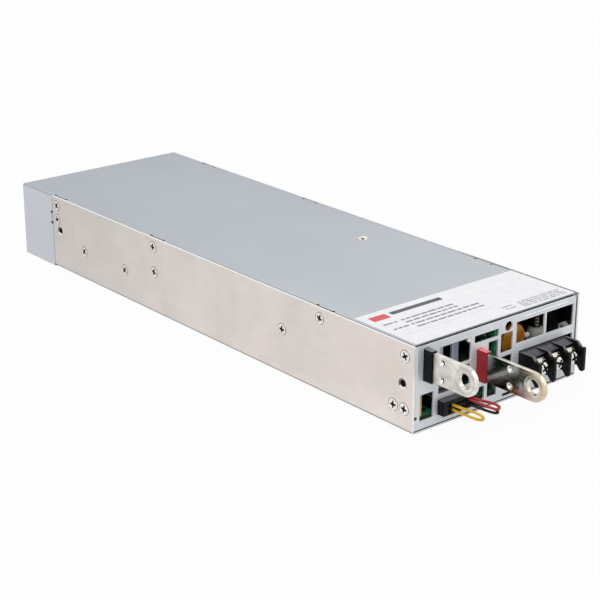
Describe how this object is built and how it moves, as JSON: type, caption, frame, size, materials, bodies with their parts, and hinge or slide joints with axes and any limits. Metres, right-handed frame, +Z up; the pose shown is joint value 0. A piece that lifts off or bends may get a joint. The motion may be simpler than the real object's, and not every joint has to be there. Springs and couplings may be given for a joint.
{
  "type": "switching power supply",
  "caption": "Slim enclosed switching power supply with a pierced front panel, flat output bars, a barrier terminal block, a signal connector with wire loops, and fans at the rear.",
  "frame": {"origin": "middle of the case's underside, halfway between the front panel and the rear wall", "axes": "+X to the right seen from the front, +Y from the front panel to the fans, +Z up"},
  "size_m": [0.107, 0.3676, 0.0417],
  "materials": {
    "plated_steel": "bright nickel-plated sheet steel, brushed",
    "cover_steel": "satin zinc-plated sheet steel, faintly blue",
    "panel_steel": "satin plated sheet steel",
    "screw_steel": "bright zinc-plated screws",
    "label_film": "white label film, bare",
    "tinned_copper": "bright tin plate on copper",
    "black_plastic": "black moulded plastic",
    "red_plastic": "red moulded plastic",
    "terminal_plastic": "black moulded terminal plastic",
    "grey_nylon": "grey nylon",
    "yellow_wire": "yellow wire insulation",
    "red_wire": "red wire insulation",
    "black_wire": "black wire insulation",
    "circuit_board": "green circuit board lacquer",
    "amber_lacquer": "amber lacquered ceramic disc",
    "bare_aluminium": "bare extruded aluminium",
    "ferrite": "dark grey ferrite with tape",
    "can_sleeve": "black shrink sleeve",
    "epoxy_black": "black moulded epoxy",
    "brass_rotor": "brass",
    "blue_plastic": "blue moulded plastic",
    "fuse_ceramic": "white ceramic tube"
  },
  "bodies": {
    "case": {"chassis": "plated_steel", "cover": "cover_steel", "front_panel": "panel_steel", "case_screws": "screw_steel", "top_label": "label_film", "fan_frame_left": "black_plastic", "fan_frame_right": "black_plastic", "fan_screws": "screw_steel", "main_board": "circuit_board", "board_standoffs": "screw_steel", "insulation_sheet": "black_plastic", "negative_bus_bar": "tinned_copper", "positive_bus_bar": "tinned_copper", "black_sleeve": "black_plastic", "red_sleeve": "red_plastic", "terminal_block": "terminal_plastic", "terminal_plates": "tinned_copper", "clamp_washers": "tinned_copper", "terminal_screws": "screw_steel", "signal_socket": "black_plastic", "signal_plug": "black_plastic", "yellow_jumper": "yellow_wire", "red_jumper": "red_wire", "black_jumper": "black_wire", "control_board": "circuit_board", "monitor_board": "circuit_board", "trimmer_body": "blue_plastic", "varistor": "amber_lacquer", "nylon_spacer": "grey_nylon", "spacer_stud": "screw_steel", "front_heat_sink": "bare_aluminium", "filter_capacitor": "epoxy_black", "input_fuse": "fuse_ceramic", "common_mode_choke": "ferrite", "boost_choke": "ferrite", "resonant_choke": "ferrite", "main_transformer": "ferrite", "second_transformer": "ferrite", "bulk_capacitors": "can_sleeve", "output_capacitors": "can_sleeve", "switch_heat_sink": "bare_aluminium", "switch_transistors": "epoxy_black", "output_heat_sink": "bare_aluminium", "output_transistors": "epoxy_black", "input_heat_sink": "bare_aluminium", "bridge_rectifier": "epoxy_black"},
    "fan_rotor_left": {"fan_rotor_left": "black_plastic"},
    "fan_rotor_right": {"fan_rotor_right": "black_plastic"},
    "trimmer_rotor": {"trimmer_rotor": "brass_rotor"}
  },
  "joints": [
    {"name": "left_fan_spin", "type": "hinge", "parent": "case", "child": "fan_rotor_left", "pos_m": [-0.024, 0.15, 0.0207], "axis": [0, 1, 0], "continuous": true},
    {"name": "right_fan_spin", "type": "hinge", "parent": "case", "child": "fan_rotor_right", "pos_m": [0.024, 0.15, 0.0207], "axis": [0, 1, 0], "continuous": true},
    {"name": "voltage_trim", "type": "hinge", "parent": "case", "child": "trimmer_rotor", "pos_m": [0.0059, -0.1569, 0.0366], "axis": [0, 1, 0], "range_deg": [-135, 135]}
  ]
}
